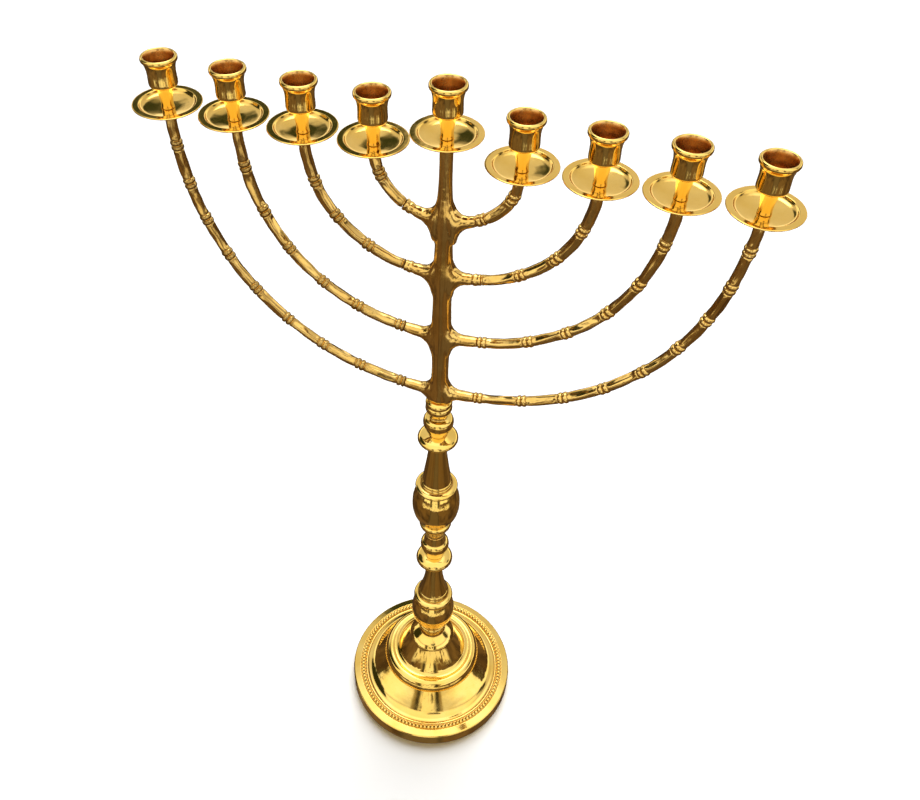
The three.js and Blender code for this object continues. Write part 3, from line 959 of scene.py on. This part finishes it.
# The finish runs up the bar, and turns to run along each root.
bench = column_shape.verts.layers.float_vector.new("bench")
for vertex in column_shape.verts:
    x, y, z = vertex.co
    root_height = min(branch_roots, key=lambda height: abs(height - z))
    on_root = min(max((abs(x) - 7) / 8, 0), 1)
    long_way = z * (1 - on_root) + (root_height + abs(x)) * on_root
    vertex[bench] = (x * (1 - on_root) + (z - root_height) * on_root, y, long_way)
ridge_depth = 0.36
fine_ridge_depth = 0.10
for vertex in column_shape.verts:
    x, y, z = vertex.co
    if math.hypot(x, y) > 4.95:
        across, deep, along = vertex[bench]
        ridges = noise.noise(Vector((across * 0.33, deep * 0.33, along * 0.018)))
        fine = noise.noise(Vector((across * 0.8, deep * 0.8, along * 0.03 + 9)))
        vertex.co += vertex.normal * (ridges * ridge_depth + fine * fine_ridge_depth)
smooth_cast_brass = metal("smooth_cast_brass", pale=(0.87, 0.61, 0.215), deep=(0.72, 0.45, 0.12),
                          tarnish_and_shade=(0.14, 0.075, 0.022), smoothest=0.11, roughest=0.20, strokes=0.025,
                          dents=0.22)
finished_piece("centre_column", column_shape, [smooth_cast_brass], "stand",
               ["centre_column"])

# ---------------------------------------------------------------- Drip pans
# Nine thin dishes spun from sheet brass, with a flat rim and a rolled edge. Each lies on the tip of its
# branch, and the cup's foot clamps it there.
spun_brass = metal("spun_brass", pale=(0.90, 0.62, 0.185), deep=(0.84, 0.54, 0.12),
                   tarnish_and_shade=(0.40, 0.22, 0.06), smoothest=0.06, roughest=0.15, rings=0.004, dents=0.12)
pan_radius = 26.5
pan_floor = -4.5
pan_sheet = 1.2
pan_marks = [
    (stud_hole, pan_floor - pan_sheet, 0.1), (8.4, pan_floor - pan_sheet), (11, -5.3), (15, -4.7),
    (18.2, -4.1), (20, -3.1), (21.2, -1.9), (22.2, -1.3, 0.4), (24, -1.15), (26.1, -1.1, 0.3),
    (pan_radius, -0.55), (26.1, 0.0, 0.3), (24, 0.0), (21.8, 0.0, 0.2), (21.4, -0.3), (20.9, -1.1),
    (20.2, -1.9), (19.4, -2.45), (18.2, -2.95), (15, -3.55), (11, -4.15), (8.6, -4.4),
    (6, pan_floor), (stud_hole, pan_floor, 0.1), (stud_hole, pan_floor - pan_sheet, 0.1),
]


def place_x(place):
    return (place - middle_place) * cup_spacing


def place_rim(place):
    return rim_height + (middle_rise if place == middle_place else 0)


for place in range(1, 10):
    rng = random.Random(70 + place)
    pan = turned(pan_marks, 96)
    keep_bench_place(pan)
    warp_turn = rng.uniform(0, math.pi)
    warp = rng.uniform(0.05, 0.16)
    for vertex in pan.verts:
        out = math.hypot(vertex.co.x, vertex.co.y) / pan_radius
        turn = math.atan2(vertex.co.y, vertex.co.x)
        vertex.co.z += warp * out ** 3 * (math.cos(2 * (turn - warp_turn)) - 1)
    finished_piece(f"drip_pan_{place}", pan, [spun_brass], "stand", [f"drip_pan_{place}"],
                   centre=(place_x(place), place_rim(place)))

# ---------------------------------------------------------------- Cup studs
# Nine short steel studs with an M6 thread along their whole length. Each is screwed into the tip of a
# branch and into a cup's foot, and so holds the cup and its pan.
stud_radius = 3.0
stud_thread_depth = 0.55
stud_thread_pitch = 1.0
stud_top_in_cup = 8.3
stud_in_branch = 8.9
cup_foot_below_rim = 4.2
for place in range(1, 10):
    foot = place_rim(place) - cup_foot_below_rim
    tip = place_rim(place) - tip_below_rim
    stud = threaded(stud_radius, stud_thread_depth, stud_thread_pitch, tip - stud_in_branch,
                    foot + stud_top_in_cup)
    finished_piece(f"cup_stud_{place}", stud, [steel], f"stud_{place}", [f"cup_stud_{place}"],
                   centre=(place_x(place), 0))

# ---------------------------------------------------------------- Candle cups
# Nine candle sockets, each turned from cast brass: a neck that narrows to its foot, a step, a waisted
# barrel and a rolled lip. The outside is polished, and the bore is left as the reamer cut it.
bore_brass = metal("bored_brass", pale=(0.80, 0.50, 0.20), deep=(0.62, 0.34, 0.11),
                   tarnish_and_shade=(0.26, 0.11, 0.04), smoothest=0.18, roughest=0.28, rings=0.020, dents=0.04)
socket_radius = 9.6
socket_floor = 19.4
cup_stud_hole_top = stud_top_in_cup + piece_gap
cup_marks = [
    (0, cup_stud_hole_top, 0), (stud_hole, cup_stud_hole_top, 0.2), (stud_hole, 0, 0.2), (5.0, 0, 0.2),
    (5.0, 0.9), (4.75, 2.0), (4.8, 5), (5.2, 9), (5.9, 13), (6.5, 16), (7.0, 17.2, 0.3), (9.2, 17.7),
    (10.6, 18.5, 0.35), (10.9, 19.8), (10.85, 23), (10.75, 26.5), (10.8, 29.5), (11.3, 32.8),
    (12.2, 35.8), (12.9, 37, 0.2), (13.5, 37.6), (13.7, 38.7), (13.5, 40), (12.8, 40.75), (12.1, 40.9),
    (11.5, 40.6, 0.2), (10.9, 38.8), (10.5, 36.4), (socket_radius, 31), (socket_radius, 26),
    (socket_radius, 19.6, 0.5), (6, socket_floor), (0, socket_floor, 0),
]
for place in range(1, 10):
    cup = turned(cup_marks, 72)
    for face in cup.faces:
        middle = face.calc_center_median()
        above_floor = middle.z > socket_floor - 0.1
        inside_lip = math.hypot(middle.x, middle.y) < 11.35
        faces_inward = face.normal.dot(middle.xy.to_3d()) < 0.3
        if above_floor and inside_lip and faces_inward:
            face.material_index = 1
    finished_piece(f"candle_cup_{place}", cup, [polished_brass, bore_brass], f"cup_{place}",
                   [f"candle_cup_{place}"],
                   centre=(place_x(place), place_rim(place) - cup_foot_below_rim))
